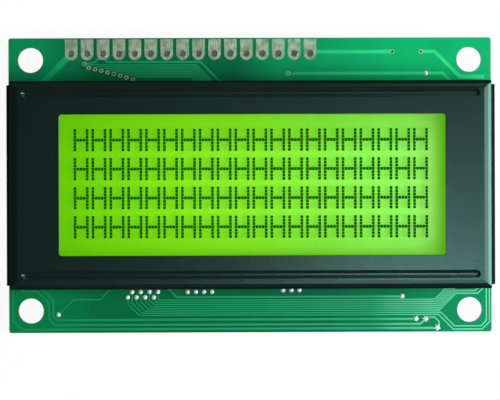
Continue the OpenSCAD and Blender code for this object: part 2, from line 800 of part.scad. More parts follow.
module led_board() {
    color([0.9, 0.92, 0.88])
        difference() {
            sheet(backlight_w, backlight_d, led_board_t, front_z);
            for (side = [-1, 1])
                translate([pin_x, side * pin_span / 2, front_z - cut])
                    cylinder(d = pin_dia, h = led_board_t + 2 * cut);
        }
}

module led_dice() {
    area_w = backlight_w - 2 * frame_wall;
    area_d = backlight_d - 2 * frame_wall;
    color([0.8, 0.75, 0.3])
        for (i = [0:dice_columns - 1], j = [0:dice_rows - 1])
            translate([((i + 0.5) / dice_columns - 0.5) * area_w, ((j + 0.5) / dice_rows - 0.5) * area_d,
                       frame_z + die_size / 2])
                cube(die_size, center = true);
}

module backlight_pins() {
    color([0.8, 0.8, 0.78])
        for (side = [-1, 1])
            translate([pin_x, side * pin_span / 2, board_z - pin_reach])
                cylinder(d = pin_dia, h = pin_reach + board_t + led_board_t);
}

// Fillet of solder that climbs the pin from its land
module pin_solder() {
    fillet_r = pin_land_r - pin_dia / 2;
    color([0.78, 0.78, 0.76])
        for (side = [-1, 1])
            translate([pin_x, side * pin_span / 2, board_z])
                mirror([0, 0, 1])
                    rotate_extrude()
                        difference() {
                            translate([pin_dia / 2, 0]) square([fillet_r, fillet_r + 0.3]);
                            translate([pin_land_r, fillet_r + 0.3]) circle(fillet_r);
                        }
}

// ---- Contact strips ----

module contact_strip(side) {
    color([0.25, 0.25, 0.27])
        translate([-strip_l / 2, side * strip_y - strip_w / 2, finger_top])
            cube([strip_l, strip_w, gap_top - finger_top]);
}

module upper_contact_strip() {
    contact_strip(1);
}

module lower_contact_strip() {
    contact_strip(-1);
}

// ---- Rear parts ----

module epoxy_cap(x, dia) {
    color([0.03, 0.03, 0.03])
        translate([x, cap_y, board_z])
            mirror([0, 0, 1]) dome(dia / 2, cap_h, $fn = 120);
}

module controller_cap() {
    epoxy_cap(terminal_mid_x, controller_dia);
}

module left_driver_cap() {
    epoxy_cap(left_driver_x, driver_dia);
}

module right_driver_cap() {
    epoxy_cap(right_driver_x, driver_dia);
}

solder_t = 0.12;          // solder under a chip part
end_l = 0.35;             // length of a chip's metal end
pad_side = 0.15;          // how far a land reaches past a chip's sides
pad_reach = 0.55;         // how far it reaches past the chip's ends
chip_pad_w = chip_w + 2 * pad_side;
chip_pad_l = chip_l + 2 * pad_reach;

module chip_bodies(places, t) {
    for (place = places)
        translate([place[0] - chip_w / 2, place[1] - chip_l / 2 + end_l, board_z - solder_t - t])
            cube([chip_w, chip_l - 2 * end_l, t]);
}

module chip_resistors() {
    color([0.1, 0.1, 0.1]) chip_bodies(resistor_places, resistor_t);
}

module chip_capacitors() {
    color([0.62, 0.48, 0.32]) chip_bodies(capacitor_places, capacitor_t);
}

// Metal ends and the sloped solder that joins them to their lands
module chip_ends(places, t) {
    reach = chip_pad_l / 2;
    body = chip_l / 2;
    for (place = places, side = [-1, 1])
        translate([place[0] - chip_w / 2, place[1], board_z])
            mirror([0, 0, 1])
                rotate([90, 0, 90])
                    linear_extrude(chip_w)
                        polygon([[side * (body - end_l), 0], [side * reach, 0], [side * body, t * 0.7],
                                 [side * body, t + solder_t], [side * (body - end_l), t + solder_t]]);
}

module chip_solder() {
    color([0.78, 0.78, 0.76]) {
        chip_ends(resistor_places, resistor_t);
        chip_ends(capacitor_places, capacitor_t);
    }
}

circuit_board();
terminal_lands();
open_vias();
filled_vias();
front_tracks();
rear_tracks();
contact_fingers();
bezel();
front_polariser();
front_glass();
display_dots();
cell_seal();
fill_plug();
rear_glass();
rear_polariser();
diffuser();
backlight_frame();
led_board();
led_dice();
backlight_pins();
pin_solder();
upper_contact_strip();
lower_contact_strip();
controller_cap();
left_driver_cap();
right_driver_cap();
chip_resistors();
chip_capacitors();
chip_solder();
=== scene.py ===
import math

import bmesh
import bpy
from mathutils import Matrix, Vector, kdtree, noise


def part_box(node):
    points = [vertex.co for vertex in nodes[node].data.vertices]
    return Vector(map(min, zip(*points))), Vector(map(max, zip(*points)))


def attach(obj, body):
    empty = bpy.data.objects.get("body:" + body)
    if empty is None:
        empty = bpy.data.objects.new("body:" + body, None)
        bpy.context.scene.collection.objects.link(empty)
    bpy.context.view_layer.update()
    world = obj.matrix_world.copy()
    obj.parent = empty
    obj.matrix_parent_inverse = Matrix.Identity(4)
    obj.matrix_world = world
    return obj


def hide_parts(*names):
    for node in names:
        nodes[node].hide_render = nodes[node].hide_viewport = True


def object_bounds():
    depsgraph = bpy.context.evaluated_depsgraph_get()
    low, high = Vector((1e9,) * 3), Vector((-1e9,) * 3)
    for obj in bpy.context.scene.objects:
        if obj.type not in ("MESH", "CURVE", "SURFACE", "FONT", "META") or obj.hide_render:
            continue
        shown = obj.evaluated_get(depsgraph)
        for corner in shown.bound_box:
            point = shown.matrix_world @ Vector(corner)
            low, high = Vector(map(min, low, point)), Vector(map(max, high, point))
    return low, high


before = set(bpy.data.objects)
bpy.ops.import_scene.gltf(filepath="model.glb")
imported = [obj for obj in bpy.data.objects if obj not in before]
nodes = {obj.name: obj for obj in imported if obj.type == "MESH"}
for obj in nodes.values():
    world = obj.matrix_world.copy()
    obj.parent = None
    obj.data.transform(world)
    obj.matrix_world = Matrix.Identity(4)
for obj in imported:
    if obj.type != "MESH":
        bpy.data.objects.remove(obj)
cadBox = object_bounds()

mm = 0.001
scene = bpy.context.scene
scene.view_settings.view_transform = "Standard"
print("frame loaded:", len(nodes), "nodes")


# camera, floor and light
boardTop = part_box("circuit_board")[1].z
view = {
    "right": -9.0 * mm,
    "up": -2.36 * mm,
    "above": 560 * mm,   # from the board's face
    "lens": 252.65,      # in millimetres, as is the sensor's width
    "sensor": 36,
    "roll": -0.18,       # degrees
    "turn": -0.916,      # degrees, so that it looks at the middle
}


def placeCamera():
    data = bpy.data.cameras.new("overheadCamera")
    data.sensor_width = view["sensor"]
    data.lens = view["lens"]
    camera = bpy.data.objects.new("overheadCamera", data)
    camera.location = (view["right"], view["up"], boardTop + view["above"])
    camera.rotation_euler = (0, math.radians(view["turn"]), math.radians(view["roll"]))
    scene.collection.objects.link(camera)
    scene.camera = camera


softboxes = {
    # name: where it stands, its size and its power in watts
    "keyPanel": ((0.325, -0.06, 0.563), (0.37, 0.30), 2.3),
    "sideWindow": ((0.584, -0.03, 0.285), (0.37, 0.20), 3.2),
    "frontStrip": ((0.07, -0.37, 0.59), (0.10, 0.42), 0.46),
    "rearWall": ((0.30, 0.52, 0.40), (0.50, 0.45), 0.85),
    "ceilingLamp": ((0.075, -0.05, 0.75), (0.05, 0.05), 0.16),
}


def hangSoftboxes():
    for name, (place, size, power) in softboxes.items():
        data = bpy.data.lights.new(name, "AREA")
        data.shape = "RECTANGLE"
        data.size, data.size_y = size
        data.energy = power
        lamp = bpy.data.objects.new(name, data)
        lamp.location = place
        away = Vector(place).normalized()
        across = (Vector((1, 0, 0)) - away * away.x).normalized()
        lamp.rotation_euler = Matrix((across, away.cross(across), away)).transposed().to_euler()
        scene.collection.objects.link(lamp)


room = {
    "wall": (0.10, 0.105, 0.10),      # level with the object
    "ceiling": (0.03, 0.033, 0.033),  # straight above it
    "wallTop": 0.15,
    "ceilingEdge": 0.75,
}


def paintRoom():
    world = bpy.data.worlds.new("studioRoom")
    world.use_nodes = True
    scene.world = world
    tree = world.node_tree
    direction = tree.nodes.new("ShaderNodeTexCoord").outputs["Generated"]
    height = split(tree, direction)[2]
    stops = [(room["wallTop"], room["wall"]), (room["ceilingEdge"], room["ceiling"])]
    colour = ramp(tree, height, stops)
    tree.links.new(colour, tree.nodes["Background"].inputs["Color"])


floorSet = {
    "halfWidth": 4.0,
    "glow": 0.94,              # share of the floor's own white in what is seen of it
    "paint": (0.9, 0.9, 0.9),
    "inset": 1.5 * mm,         # the glow ends this far under the board, apart from the painted light under its four holes
    "holeFromEdge": 3.5 * mm,
    # radius of the painted pool of light on the floor under each mounting hole
    "paintedHoleLight": 3.0 * mm,
}


def openFloorAndPaintedHoleLight(tree):
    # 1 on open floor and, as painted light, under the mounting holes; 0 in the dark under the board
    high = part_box("circuit_board")[1]
    inset, corner = floorSet["inset"], floorSet["holeFromEdge"]
    x, y, _ = split(tree, tree.nodes.new("ShaderNodeTexCoord").outputs["Object"])
    x, y = maths(tree, "ABSOLUTE", x), maths(tree, "ABSOLUTE", y)
    beside = maths(tree, "MAXIMUM", between(tree, x, high.x - inset, high.x),
                   between(tree, y, high.y - inset, high.y))
    awayX = maths(tree, "SUBTRACT", x, high.x - corner)
    awayY = maths(tree, "SUBTRACT", y, high.y - corner)
    squareX, squareY = maths(tree, "MULTIPLY", awayX, awayX), maths(tree, "MULTIPLY", awayY, awayY)
    away = maths(tree, "SQRT", maths(tree, "ADD", squareX, squareY))
    return maths(tree, "MAXIMUM", beside, maths(tree, "LESS_THAN", away, floorSet["paintedHoleLight"]))


def layFloor():
    half = floorSet["halfWidth"]
    level = cadBox[0].z
    mesh = bpy.data.meshes.new("paleFloor")
    corners = ((-half, -half), (half, -half), (half, half), (-half, half))
    mesh.from_pydata([(x, y, level) for x, y in corners], [], [(0, 1, 2, 3)])
    floor = bpy.data.objects.new("paleFloor", mesh)
    scene.collection.objects.link(floor)
    material = bpy.data.materials.new("paleFloor")
    material.use_nodes = True
    tree = material.node_tree
    tree.nodes.clear()
    rays = tree.nodes.new("ShaderNodeLightPath")
    seen = maths(tree, "MAXIMUM", rays.outputs["Is Camera Ray"], rays.outputs["Is Glossy Ray"])
    seen = maths(tree, "MAXIMUM", seen, rays.outputs["Is Transmission Ray"])
    seen = maths(tree, "MULTIPLY", seen, openFloorAndPaintedHoleLight(tree))
    paint = tree.nodes.new("ShaderNodeBsdfDiffuse")
    paint.inputs["Color"].default_value = (*floorSet["paint"], 1)
    glow = tree.nodes.new("ShaderNodeEmission")
    mix = tree.nodes.new("ShaderNodeMixShader")
    tree.links.new(maths(tree, "MULTIPLY", seen, floorSet["glow"]), mix.inputs[0])
    tree.links.new(paint.outputs[0], mix.inputs[1])
    tree.links.new(glow.outputs[0], mix.inputs[2])
    tree.links.new(mix.outputs[0], tree.nodes.new("ShaderNodeOutputMaterial").inputs["Surface"])
    mesh.materials.append(material)


# small tools for the finishes
def maths(tree, operation, first, second=None):
    node = tree.nodes.new("ShaderNodeMath")
    node.operation = operation
    for slot, value in zip(node.inputs, (first, second)):
        if value is None:
            continue
        if isinstance(value, (int, float)):
            slot.default_value = value
        else:
            tree.links.new(value, slot)
    return node.outputs[0]


def split(tree, vector):
    node = tree.nodes.new("ShaderNodeSeparateXYZ")
    tree.links.new(vector, node.inputs[0])
    return node.outputs


def ramp(tree, factor, stops, smooth=True):
    node = tree.nodes.new("ShaderNodeValToRGB")
    node.color_ramp.interpolation = "EASE" if smooth else "LINEAR"
    marks = node.color_ramp.elements
    while len(marks) < len(stops):
        marks.new(0.5)
    for mark, (position, colour) in zip(marks, stops):
        mark.position = position
        mark.color = (*colour, 1)
    tree.links.new(factor, node.inputs[0])
    return node.outputs["Color"]


def between(tree, value, low, high):
    node = tree.nodes.new("ShaderNodeMapRange")
    node.interpolation_type = "SMOOTHSTEP"
    node.inputs["From Min"].default_value = low
    node.inputs["From Max"].default_value = high
    tree.links.new(value, node.inputs["Value"])
    return node.outputs["Result"]


def grain(tree, vector, size, detail=3.0, stretch=(1, 1, 1)):
    # noise whose features are about size metres wide, stretched along the axes
    mapping = tree.nodes.new("ShaderNodeMapping")
    mapping.inputs["Scale"].default_value = [1 / (size * s) for s in stretch]
    tree.links.new(vector, mapping.inputs["Vector"])
    node = tree.nodes.new("ShaderNodeTexNoise")
    node.inputs["Scale"].default_value = 1
    node.inputs["Detail"].default_value = detail
    tree.links.new(mapping.outputs[0], node.inputs["Vector"])
    return node.outputs["Fac"]


def mixColour(tree, factor, first, second):
    node = tree.nodes.new("ShaderNodeMix")
    node.data_type = "RGBA"
    slots = (node.inputs[0], node.inputs[6], node.inputs[7])
    for slot, value in zip(slots, (factor, first, second)):
        if isinstance(value, (int, float)):
            slot.default_value = value
        elif isinstance(value, tuple):
            slot.default_value = (*value, 1)
        else:
            tree.links.new(value, slot)
    return node.outputs[2]


def relief(tree, shader, height, depth):
    node = tree.nodes.new("ShaderNodeBump")
    node.inputs["Strength"].default_value = 1
    node.inputs["Distance"].default_value = depth
    tree.links.new(height, node.inputs["Height"])
    tree.links.new(node.outputs[0], shader.inputs["Normal"])


def startFinish(name, **sockets):
    material = bpy.data.materials.new(name)
    material.use_nodes = True
    tree = material.node_tree
    shader = tree.nodes["Principled BSDF"]
    for socket, value in sockets.items():
        shader.inputs[socket.replace("_", " ")].default_value = value
    place = tree.nodes.new("ShaderNodeTexCoord").outputs["Object"]
    return material, tree, shader, place


def tint(tree, shader, factor, dark, light, low=0.3, high=0.7):
    tree.links.new(ramp(tree, factor, [(low, dark), (high, light)]), shader.inputs["Base Color"])


def slope(tree):
    # how far a face looks up: 1 when level, 0 when upright
    return split(tree, tree.nodes.new("ShaderNodeNewGeometry").outputs["Normal"])[2]


def plainFinish(name, dark, light, size, depth=0, stretch=(1, 1, 1), **sockets):
    material, tree, shader, place = startFinish(name, **sockets)
    pattern = grain(tree, place, size, stretch=stretch)
    tint(tree, shader, pattern, dark, light)
    if depth:
        relief(tree, shader, pattern, depth)
    return material


def dress(nodeName, material):
    mesh = nodes[nodeName].data
    mesh.materials.clear()
    mesh.materials.append(material)


# finishes of the circuit board
boardFinish = {
    # base green of the mask along the board's upper and lower strips, left to right, with painted light:
    # the levels stand in for how the lamps fall, brightest at the right end
    "upper": [(0.0, (0.002, 0.30, 0.10)), (0.05, (0.002, 0.19, 0.07)), (0.09, (0.001, 0.13, 0.05)),
              (0.13, (0.001, 0.14, 0.05)), (0.44, (0.002, 0.155, 0.058)), (0.62, (0.003, 0.35, 0.12)),
              (1.0, (0.004, 0.55, 0.18))],
    "lower": [(0.0, (0.001, 0.25, 0.075)), (0.10, (0.001, 0.16, 0.05)), (0.35, (0.001, 0.15, 0.05)),
              (0.70, (0.001, 0.155, 0.06)), (0.88, (0.001, 0.23, 0.085)), (1.0, (0.003, 0.33, 0.13))],
    # the same mask where it lies on copper, with the same painted light, brightest at the right end
    "upperCopper": [(0.0, (0.004, 0.42, 0.15)), (0.12, (0.006, 0.31, 0.11)), (0.5, (0.01, 0.42, 0.15)),
                    (1.0, (0.03, 0.84, 0.28))],
    "lowerCopper": [(0.0, (0.006, 0.30, 0.11)), (0.35, (0.012, 0.35, 0.135)), (0.84, (0.03, 0.42, 0.18)),
                    (0.91, (0.10, 0.66, 0.34)), (1.0, (0.20, 0.88, 0.50))],
    "seam": mm,             # the strips' colours meet this far either side of the middle
    # width, share and colour of the darker patches
    "mottle": (5 * mm, 0.35, (0.004, 0.09, 0.035)),
    "copperMottle": (2 * mm, 0.3, (0.02, 0.2, 0.09)),
    "wave": 0.9 * mm,       # width of the waves in the mask's surface
    "copperWave": 0.35 * mm,
    "waveDepth": 0.004 * mm,
    "laminate": [(0.35, (0.07, 0.19, 0.06)), (0.65, (0.15, 0.31, 0.11))],
    "plyPitch": 0.2 * mm,
    "plyStretch": (8, 8, 1),
    "gloss": {"Roughness": 0.40, "IOR": 1.5, "Specular_Tint": (0.3, 1, 0.7, 1)},
    "shine": 0.12,
    "copperShine": 0.15,
}


def stripGreenAndPaintedLight(tree, place, upperName, lowerName, mottle, detail=3.0):
    # the mask's green, from the board's left end to its right one, with the painted light of the strips'
    # ramps and darker patches
    low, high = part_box("circuit_board")
    x, y, _ = split(tree, place)
    along = between(tree, x, low.x, high.x)
    upper = ramp(tree, along, boardFinish[upperName])
    lower = ramp(tree, along, boardFinish[lowerName])
    seam = boardFinish["seam"]
    green = mixColour(tree, between(tree, y, -seam, seam), lower, upper)
    width, share, colour = mottle
    patches = maths(tree, "MULTIPLY", grain(tree, place, width, detail=detail), share)
    return mixColour(tree, patches, green, colour)


def solderMask():
    material, tree, shader, place = startFinish(
        "solderMask", Specular_IOR_Level=boardFinish["shine"], **boardFinish["gloss"])
    mask = stripGreenAndPaintedLight(tree, place, "upper", "lower", boardFinish["mottle"], detail=4)
    # the sawn edges and the holes' walls show the bare laminate, in thin plies
    plies = grain(tree, place, boardFinish["plyPitch"], detail=2, stretch=boardFinish["plyStretch"])
    laminate = ramp(tree, plies, boardFinish["laminate"])
    face = maths(tree, "GREATER_THAN", maths(tree, "ABSOLUTE", slope(tree)), 0.5)
    tree.links.new(mixColour(tree, face, laminate, mask), shader.inputs["Base Color"])
    relief(tree, shader, grain(tree, place, boardFinish["wave"]), boardFinish["waveDepth"])
    return material


def maskOverCopper():
    material, tree, shader, place = startFinish(
        "maskOverCopper", Specular_IOR_Level=boardFinish["copperShine"], **boardFinish["gloss"])
    mask = stripGreenAndPaintedLight(tree, place, "upperCopper", "lowerCopper", boardFinish["copperMottle"])
    tree.links.new(mask, shader.inputs["Base Color"])
    waves = grain(tree, place, boardFinish["copperWave"], detail=2)
    relief(tree, shader, waves, boardFinish["waveDepth"])
    return material


tinSet = {
    "dark": (0.17, 0.26, 0.17),
    "light": (0.40, 0.56, 0.38),
    "edges": (0.32, 0.68),          # shares of the pattern at which the two colours begin
    "streak": 0.12 * mm,
    "streakStretch": (1, 9, 1),
    "blotch": 1.1 * mm,
    "blotchShare": 0.55,
    "depth": 0.01 * mm,
}


def tinnedCopper():
    material, tree, shader, place = startFinish("tinnedCopper", Roughness=0.42, Metallic=0.55)
    streaks = grain(tree, place, tinSet["streak"], stretch=tinSet["streakStretch"])
    blotches = grain(tree, place, tinSet["blotch"])
    pattern = mixColour(tree, tinSet["blotchShare"], streaks, blotches)
    tint(tree, shader, pattern, tinSet["dark"], tinSet["light"], *tinSet["edges"])
    relief(tree, shader, streaks, tinSet["depth"])
    return material


print("board finishes written")

paintSet = {
    "dark": (0.0055, 0.0125, 0.0105),
    "light": (0.0065, 0.0145, 0.0125),
    "cloud": 9 * mm,
    "peel": 0.7 * mm,       # width of the orange peel
    "peelDepth": 0.002 * mm,
    "dust": 0.16 * mm,
    "shineTint": (0.45, 1, 0.88, 1),
    "roughness": 0.16,      # between the specks of dust
    "dustRoughness": 0.06,  # how much more on them
    "wall": (0.68, 0.80),   # the paint is dull below the first slope, and glossy from the second
}


def blackPaint():
    material, tree, shader, place = startFinish(
        "blackPaint", IOR=1.5, Specular_Tint=paintSet["shineTint"])
    tint(tree, shader, grain(tree, place, paintSet["cloud"]), paintSet["dark"], paintSet["light"])
    specks = grain(tree, place, paintSet["dust"], detail=1)
    rougher = maths(tree, "MULTIPLY", specks, paintSet["dustRoughness"])
    tree.links.new(maths(tree, "ADD", rougher, paintSet["roughness"]), shader.inputs["Roughness"])
    relief(tree, shader, grain(tree, place, paintSet["peel"], detail=2), paintSet["peelDepth"])
    # the spray reaches the steep walls only as a thin dull dust
    dull = tree.nodes.new("ShaderNodeBsdfDiffuse")
    tree.links.new(shader.inputs["Base Color"].links[0].from_socket, dull.inputs["Color"])
    blend = tree.nodes.new("ShaderNodeMixShader")
    tree.links.new(between(tree, slope(tree), *paintSet["wall"]), blend.inputs[0])
    tree.links.new(dull.outputs[0], blend.inputs[1])
    tree.links.new(shader.outputs[0], blend.inputs[2])
    tree.links.new(blend.outputs[0], tree.nodes["Material Output"].inputs["Surface"])
    return material


reflectorSet = {
    "glow": 0.45,
    "glowColour": (0.24, 1.0, 0.004, 1),
    # colour from left to right, by the distance from the middle, with a painted whitish sheen that grows
    # toward the right and painted light that lifts the right edge against the bezel's shadow
    "coloursAndPaintedSheen": [(-30 * mm, (0.062, 0.238, 0.001)), (-25 * mm, (0.101, 0.378, 0.005)),
                (-12.6 * mm, (0.189, 0.553, 0.012)), (0, (0.223, 0.637, 0.030)),
                (12.6 * mm, (0.229, 0.691, 0.085)), (24 * mm, (0.31, 0.86, 0.19)),
                (29.5 * mm, (0.56, 1.0, 0.34))],
    "cloud": (12 * mm, 0.10, (0.16, 0.52, 0.01)),   # width, share and colour of its uneven patches
    "shadeFrom": 3 * mm,     # painted shade under the bezel's rim: it darkens from here toward the long edges
    "shadeTo": 11.5 * mm,
    "paintedShade": 0.45,
    "shadeColour": (0.01, 0.04, 0.0),
}


def transflector():
    material, tree, shader, place = startFinish(
        "transflector", Roughness=0.5, Specular_IOR_Level=0,
        Emission_Color=reflectorSet["glowColour"], Emission_Strength=reflectorSet["glow"])
    low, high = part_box("rear_polariser")
    x, y, _ = split(tree, place)
    along = maths(tree, "DIVIDE", maths(tree, "SUBTRACT", x, low.x), high.x - low.x)
    stops = [((where - low.x) / (high.x - low.x), colour) for where, colour in reflectorSet["coloursAndPaintedSheen"]]
    base = ramp(tree, along, stops, smooth=False)
    width, share, colour = reflectorSet["cloud"]
    patches = maths(tree, "MULTIPLY", grain(tree, place, width, detail=2), share)
    base = mixColour(tree, patches, base, colour)
    # painted shade: the colour darkens toward the long edges, under the bezel's rim
    underRim = between(tree, maths(tree, "ABSOLUTE", y), reflectorSet["shadeFrom"], reflectorSet["shadeTo"])
    dull = maths(tree, "MULTIPLY", maths(tree, "MULTIPLY", underRim, underRim), reflectorSet["paintedShade"])
    base = mixColour(tree, dull, base, reflectorSet["shadeColour"])
    tree.links.new(base, shader.inputs["Base Color"])
    return material


print("bezel and display finishes written")

# two colours in a fine grain: its width, the depth of its relief and the shader's own values
plainFinishes = {
    "brightSolder": dict(dark=(0.86, 0.95, 0.88), light=(0.98, 0.99, 0.98), size=0.18 * mm,
                         depth=0.02 * mm, Roughness=0.30),
    "goldFingers": dict(dark=(0.62, 0.44, 0.16), light=(0.86, 0.66, 0.30), size=0.4 * mm,
                        depth=0.004 * mm, Roughness=0.3, Metallic=1.0),
    # dark fill for the open vias' bores: painted shade, standing for the shade inside the holes
    "viaBoreShade": dict(dark=(0.001, 0.02, 0.008), light=(0.003, 0.04, 0.015), size=0.2 * mm,
                     depth=0.01 * mm, Roughness=0.5, Specular_IOR_Level=0.2),
    "satinPolariser": dict(dark=(0.002, 0.10, 0.0), light=(0.004, 0.14, 0.0), size=0.25 * mm,
                           depth=0.001 * mm, Roughness=0.22, Alpha=0.03, IOR=1.5),
    "clearGlass": dict(dark=(0.0, 0.12, 0.0), light=(0.002, 0.14, 0.002), size=6 * mm,
                       Roughness=0.05, Alpha=0.012, IOR=1.5),
    "darkCrystal": dict(dark=(0.0, 0.080, 0.0), light=(0.0005, 0.10, 0.0005), size=0.5 * mm,
                        Roughness=0.5, Specular_IOR_Level=0),
    "epoxyResin": dict(dark=(0.008, 0.008, 0.009), light=(0.018, 0.018, 0.019), size=1.6 * mm,
                       depth=0.02 * mm, Roughness=0.3, IOR=1.5),
    "mouldedWhite": dict(dark=(0.74, 0.74, 0.70), light=(0.84, 0.84, 0.81), size=2 * mm,
                         depth=0.004 * mm, Roughness=0.45),
    "acrylicDiffuser": dict(dark=(0.50, 0.80, 0.12), light=(0.58, 0.86, 0.18), size=3 * mm,
                            Roughness=0.35),
    "curedSeal": dict(dark=(0.55, 0.55, 0.48), light=(0.68, 0.68, 0.60), size=0.6 * mm,
                      Roughness=0.6),
    "curedPlug": dict(dark=(0.55, 0.50, 0.34), light=(0.70, 0.64, 0.46), size=0.6 * mm,
                      Roughness=0.35),
    "ledDie": dict(dark=(0.60, 0.62, 0.14), light=(0.78, 0.80, 0.24), size=0.1 * mm,
                   Roughness=0.3),
    "contactRubber": dict(dark=(0.08, 0.08, 0.09), light=(0.14, 0.14, 0.15), size=0.15 * mm,
                          depth=0.004 * mm, stretch=(1, 6, 6), Roughness=0.7),
    "resistorGlaze": dict(dark=(0.012, 0.012, 0.014), light=(0.03, 0.03, 0.034), size=0.3 * mm,
                          depth=0.004 * mm, Roughness=0.4),
    "capacitorBody": dict(dark=(0.36, 0.25, 0.14), light=(0.50, 0.36, 0.22), size=0.3 * mm,
                          depth=0.006 * mm, Roughness=0.5),
}
ownFinishes = {
    "solderMask": solderMask, "maskOverCopper": maskOverCopper, "tinnedCopper": tinnedCopper,
    "blackPaint": blackPaint, "transflector": transflector,
}
partFinishes = {
    "circuit_board": "solderMask",
    "terminal_lands": "tinnedCopper",
    "open_vias": "tinnedCopper",
    "filled_vias": "brightSolder",
    "front_tracks": "maskOverCopper",
    "rear_tracks": "maskOverCopper",
    "contact_fingers": "goldFingers",
    "bezel": "blackPaint",
    "front_polariser": "satinPolariser",
    "front_glass": "clearGlass",
    "rear_glass": "clearGlass",
    "rear_polariser": "transflector",
    "display_dots": "darkCrystal",
    "controller_cap": "epoxyResin",
    "left_driver_cap": "epoxyResin",
    "right_driver_cap": "epoxyResin",
    "backlight_frame": "mouldedWhite",
    "led_board": "mouldedWhite",
    "backlight_pins": "brightSolder",
    "pin_solder": "brightSolder",
    "chip_solder": "brightSolder",
    "diffuser": "acrylicDiffuser",
    "cell_seal": "curedSeal",
    "fill_plug": "curedPlug",
    "led_dice": "ledDie",
    "upper_contact_strip": "contactRubber",
    "lower_contact_strip": "contactRubber",
    "chip_resistors": "resistorGlaze",
    "chip_capacitors": "capacitorBody",
}
clearPlates = ("front_polariser", "front_glass", "rear_glass")


def makeFinishes():
    made = {name: plainFinish(name, **values) for name, values in plainFinishes.items()}
    made.update({name: recipe() for name, recipe in ownFinishes.items()})
    return made


def finishNodes(finishes):
    for nodeName in clearPlates:
        nodes[nodeName].visible_shadow = False  # clear plates cast none
    for nodeName, finish in partFinishes.items():
        dress(nodeName, finishes[finish])
    print("finished", len(partFinishes), "nodes with", len(finishes), "materials")


# pieces that the solids leave plain
def newPiece(name, mesh):
    piece = bpy.data.objects.new(name, mesh)
    scene.collection.objects.link(piece)
    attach(piece, "root")
    return piece


def plainMesh(shape, name, material):
    mesh = bpy.data.meshes.new(name)
    shape.to_mesh(mesh)
    shape.free()
    mesh.materials.append(material)
    return mesh


def shadeSmooth(mesh):
    for polygon in mesh.polygons:
        polygon.use_smooth = True


def newTree(name, inputs):
    tree = bpy.data.node_groups.new(name, "GeometryNodeTree")
    tree.interface.new_socket("Geometry", in_out="OUTPUT", socket_type="NodeSocketGeometry")
    identifiers = {}
    for label, kind in inputs.items():
        socket = tree.interface.new_socket(label, in_out="INPUT", socket_type="NodeSocket" + kind)
        identifiers[label] = socket.identifier
    return tree, tree.nodes.new("NodeGroupInput").outputs, identifiers


def point(tree, x=0, y=0, z=0):
    node = tree.nodes.new("ShaderNodeCombineXYZ")
    for slot, value in zip(node.inputs, (x, y, z)):
        if isinstance(value, (int, float)):
            slot.default_value = value
        else:
            tree.links.new(value, slot)
    return node.outputs[0]


def dotLine(tree, count, start, step):
    node = tree.nodes.new("GeometryNodeMeshLine")
    node.inputs["Count"].default_value = count
    tree.links.new(start, node.inputs["Start Location"])
    tree.links.new(step, node.inputs["Offset"])
    return node.outputs[0]


def onPoints(tree, points, shape):
    node = tree.nodes.new("GeometryNodeInstanceOnPoints")
    tree.links.new(points, node.inputs["Points"])
    tree.links.new(shape, node.inputs["Instance"])
    return node.outputs[0]


def ringTube(tree, given, turns, sides):
    # a ring of round wire, from the tree's own inputs Radius and Thickness
    rings = []
    for label, resolution in (("Radius", turns), ("Thickness", sides)):
        ring = tree.nodes.new("GeometryNodeCurvePrimitiveCircle")
        ring.inputs["Resolution"].default_value = resolution
        tree.links.new(given[label], ring.inputs["Radius"])
        rings.append(ring.outputs[0])
    tube = tree.nodes.new("GeometryNodeCurveToMesh")
    tree.links.new(rings[0], tube.inputs["Curve"])
    tree.links.new(rings[1], tube.inputs["Profile Curve"])
    return tube.outputs[0]


def closeTree(tree, shapes, material):
    realize = tree.nodes.new("GeometryNodeRealizeInstances")
    paint = tree.nodes.new("GeometryNodeSetMaterial")
    paint.inputs["Material"].default_value = material
    tree.links.new(shapes, realize.inputs[0])
    tree.links.new(realize.outputs[0], paint.inputs["Geometry"])
    tree.links.new(paint.outputs[0], tree.nodes.new("NodeGroupOutput").inputs[0])


def grownMesh(name, tree, identifiers, values, seeds=()):
    # runs the tree on an object of loose points and returns what it made as a plain mesh
    carrier = bpy.data.objects.new(name + "Carrier", bpy.data.meshes.new(name + "Carrier"))
    carrier.data.from_pydata(seeds, [], [])
    scene.collection.objects.link(carrier)
    modifier = carrier.modifiers.new(name, "NODES")
    modifier.node_group = tree
    for label, value in values.items():
        modifier[identifiers[label]] = value
    bpy.context.view_layer.update()
    evaluated = carrier.evaluated_get(bpy.context.evaluated_depsgraph_get())
    mesh = bpy.data.meshes.new_from_object(evaluated)
    carrier.modifiers.remove(modifier)
    bpy.data.objects.remove(carrier)
    mesh.name = name
    return mesh


dotSet = {
    "columns": 20, "lines": 4,
    "pitchX": 0.48 * mm, "pitchY": 0.51 * mm,
    "width": 0.42 * mm, "height": 0.45 * mm,
    "thickness": 0.06 * mm,
    # each place shows two uprights and a short bar between them
    "uprights": (-2, 2), "uprightDots": 7, "barDots": 3,
}


